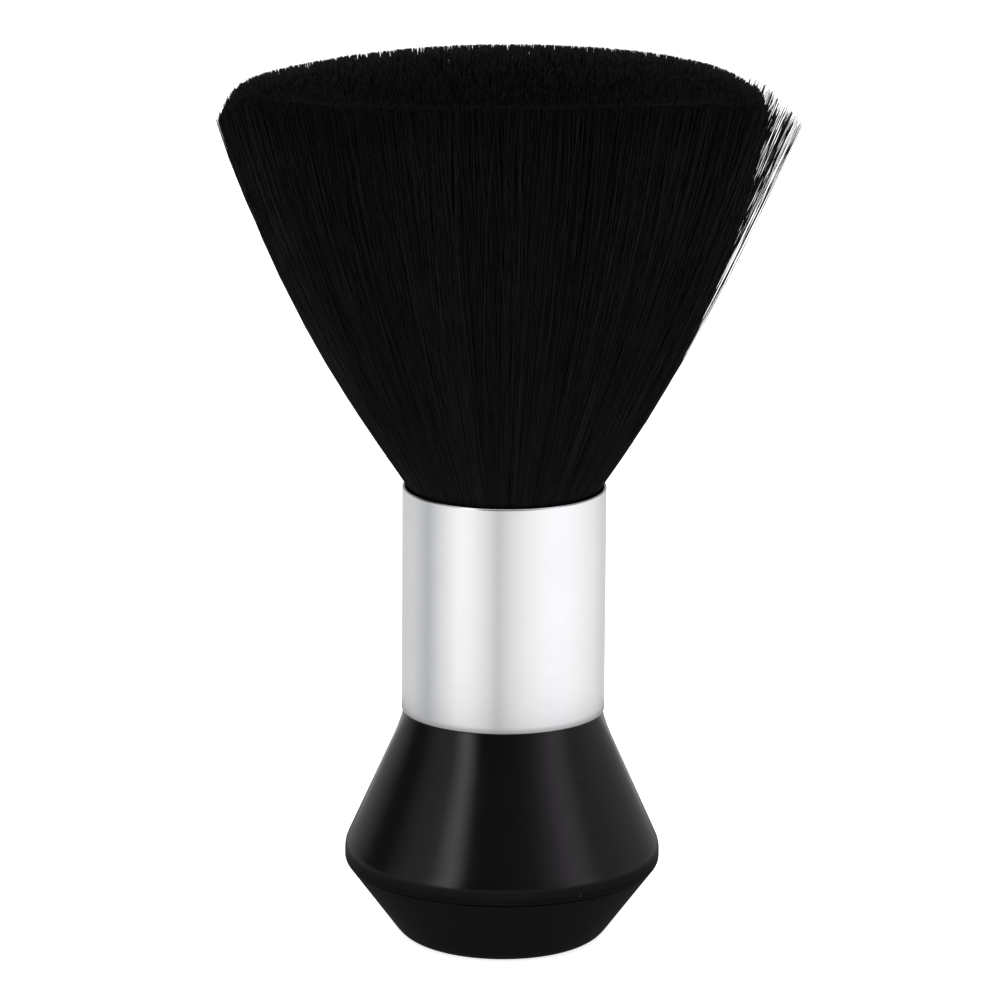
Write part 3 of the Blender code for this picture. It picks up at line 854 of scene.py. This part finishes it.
# %% The line of each hair
PULL = 0.12  # how far a hair is drawn to the middle of its lock
WANDER = 0.045  # how far it strays on its own, as a share of the fan's half width
WARP = (0.87, 1.15)  # the powers that shift the steps of a hair
SWING = 0.35 * MM  # how far its waves swing it
WAVES = 5  # how fast the waves follow each other, in radians over the hair's length
UNEVEN = 0.05 * MM  # how unevenly the tips are cut
SHORTER = 2.5 * MM  # how much shorter a worn hair is, on average
LOCK_PART = 0.25  # the part of a hair's tone that comes from its lock
# Painted light and painted shade on the tips: the back ones are painted lighter and the front ones darker.
TIP_PAINTED_LIGHT = 1.1  # how much lighter the tips at the back are
FRONT_TIP_PAINTED_SHADE = -0.6  # how far the tips at the front go the other way


def hair_lines(u, v, shares, worn, pull=PULL, wander=WANDER, loose=0.0):
    """Centre lines and tones for hairs at (u, v).

    Towards the tip, a hair moves by pull * share^2 of its way to its lock's middle and strays by a random
    amount * share^1.5, while its distance from the middle of the bundle stays, so the fan keeps a clean rim.
    Two slow sine waves swing it sideways. The ends differ in length by hair and by lock, and a share of the
    hairs, given by worn, is clearly shorter. The tips at the back are painted lighter, because they take the
    most light: painted light. The tips at the front are painted darker: painted shade. The steps go to
    share^power with a power for each hair, so that the hairs of a bent fan don't all turn at the same
    heights.
    """
    lock = np.argmin((u[:, None] - lock_u) ** 2 + (v[:, None] - lock_v) ** 2, axis=1)
    warp = rng.uniform(*WARP, (len(u), 1))
    share = np.sign(shares) * np.abs(shares) ** warp
    free = np.clip(share, 0, 1)
    stray_u, stray_v = rng.normal(0, wander, (2, len(u), 1))
    hu = u[:, None] + pull * free**2 * (lock_u[lock] - u)[:, None] + stray_u * free**1.5
    hv = v[:, None] + pull * free**2 * (lock_v[lock] - v)[:, None] + stray_v * free**1.5
    keep = np.hypot(u, v)[:, None] / np.hypot(hu, hv)
    lines = hair_run(keep * hu, keep * hv, share, loose)
    wave = rng.uniform(0, math.tau, (2, len(u), 1))
    swing = rng.normal(0, SWING, (2, len(u), 1)) * free
    lines[..., 0] += swing[0] * np.sin(WAVES * share + wave[0])
    lines[..., 1] += swing[1] * np.sin(WAVES * share + wave[1])
    longer = lock_longer[lock] + rng.normal(0, UNEVEN, len(u))
    shorter = np.where(rng.random(len(u)) < worn, rng.exponential(SHORTER, len(u)), 0)
    stretch = 1 + (longer - shorter)[:, None] / HAIR_LENGTH * free
    middle = np.array((0.0, 0.0, MOUTH))
    lines = np.where(share[..., None] > 0, middle + (lines - middle) * stretch[..., None], lines)
    tone = LOCK_PART * lock_tone[lock] + (1 - LOCK_PART) * rng.random(len(u)) ** 2
    # Painted light on the tips at the back and painted shade on the tips at the front, added to each hair's
    # own tone.
    painted_tip_light_and_shade = TIP_PAINTED_LIGHT * np.hypot(u, v) ** 3 * np.clip(2 * v, FRONT_TIP_PAINTED_SHADE, 1)
    return lines, tone[:, None] + painted_tip_light_and_shade[:, None] * free**20


# %% [markdown]
# ## Three kinds of hair
#
# Only some hairs are seen over their whole length: those round the outside, and the loose ones at the
# sides. Of the others only the ends are seen, in the face of the tips, so only their ends are made. Each
# kind could be one big mesh, but a piece is kept under 200,000 triangles, so the outside is made in
# sectors and the face in rings.

# %% The outer hairs
OUTER_HAIRS = 14400
OUTER_FROM = 0.86  # the outer hairs fill the bundle from here to 1
OUTER_RADIUS = (0.055 * MM, 0.085 * MM)
OUTER_STEPS = np.array((-0.03, 0.0, 0.1, 0.2, 0.3, 0.4, 0.5, 0.6, 0.7, 0.8, 0.9, 0.985, 0.997, 1.0))
WORN_BACK, WORN_FRONT = 0.0, 0.9  # share of the hairs that are clearly shorter
SECTORS = 6


def outer_hairs(sector):
    """One sector's hairs, at (s cos t, s sin t) with s = 1 - depth * random^2: most are right outside."""
    count = OUTER_HAIRS // SECTORS
    t = (sector + rng.random(count)) * math.tau / SECTORS
    s = 1 - (1 - OUTER_FROM) * rng.random(count) ** 2
    u, v = s * np.cos(t), s * np.sin(t)
    worn = WORN_BACK + (WORN_FRONT - WORN_BACK) * np.clip(-2 * v, 0, 1)
    lines, tone = hair_lines(u, v, OUTER_STEPS, worn)
    radius = rng.uniform(*OUTER_RADIUS, count)
    return hairs(f"hair_outer_{sector + 1}", lines, radius, tone, hair_finish)


# %% The hairs of the tip face
INNER_HAIRS = 24000
INNER_TO = 0.88  # they fill the bundle from its middle to here
INNER_RADIUS = (0.06 * MM, 0.09 * MM)
INNER_STEPS = np.array((0.80, 0.985, 0.997, 1.0))
INNER_WORN_BACK, INNER_WORN_FRONT = 0.05, 0.6
RINGS = 3


def inner_hairs(ring):
    """The ends of one ring's hairs, at s = INNER_TO * sqrt((ring + random) / RINGS): rings of equal area."""
    count = INNER_HAIRS // RINGS
    t = rng.random(count) * math.tau
    s = INNER_TO * np.sqrt((ring + rng.random(count)) / RINGS)
    u, v = s * np.cos(t), s * np.sin(t)
    worn = INNER_WORN_BACK + (INNER_WORN_FRONT - INNER_WORN_BACK) * np.clip(-2 * v, 0, 1)
    lines, tone = hair_lines(u, v, INNER_STEPS, worn)
    radius = rng.uniform(*INNER_RADIUS, count)
    return hairs(f"hair_inner_{ring + 1}", lines, radius, tone, hair_finish)


# %% The loose hairs at the sides
LOOSE_HAIRS = (("right", 330, 0.81, 0.99), ("left", 12, -0.97, -1.0))  # side, count, inner and outer u
LOOSE_RADIUS = (0.045 * MM, 0.065 * MM)
LOOSE_WORN = 0.3
LOOSE_WANDER = 0.006


def loose_hairs(side, count, inner, outer):
    """Hairs that stand apart at one end of the fan, so light comes between them.

    u = outer + (inner - outer) * sqrt(random), which makes them ever fewer on the way out, and v is anywhere
    from -sqrt(1 - u^2) to sqrt(1 - u^2).
    """
    u = outer + (inner - outer) * np.sqrt(rng.random(count))
    v = rng.uniform(-1, 1, count) * np.sqrt(np.maximum(1 - u**2, 0))
    lines, tone = hair_lines(u, v, OUTER_STEPS, LOOSE_WORN, 0.0, LOOSE_WANDER, 1.0)
    radius = rng.uniform(*LOOSE_RADIUS, count)
    return hairs(f"hair_loose_{side}", lines, radius, tone, hair_finish)


# %% All the hair
tuft = [body]
tuft += [outer_hairs(sector) for sector in range(SECTORS)]
tuft += [inner_hairs(ring) for ring in range(RINGS)]
tuft += [loose_hairs(*row) for row in LOOSE_HAIRS]
print("the hair is", len(tuft), "pieces")

# %% [markdown]
# ## Placing the hair
#
# The hair is fast in the tube and swings with the hinge above it. Riding on one body only, it would tear
# at the mouth. Here each piece of hair only has its placement applied to its points: it rides on no body
# and is not blended between the handle and the bristles. A real hair bends over its whole length.

# %% Apply the hair's placement
for piece in tuft:
    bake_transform(piece)
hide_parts("bristle_tuft", "bristle_root")
print(len(tuft), "pieces bend over the", round(HAIR_LENGTH / MM, 1), "mm above the mouth")

# %% Sizes, and the end
look_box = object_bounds()
for name, box in (("cad", cad_box), ("look", look_box)):
    print(name, "box in mm:", [[round(value / MM, 1) for value in corner] for corner in box])
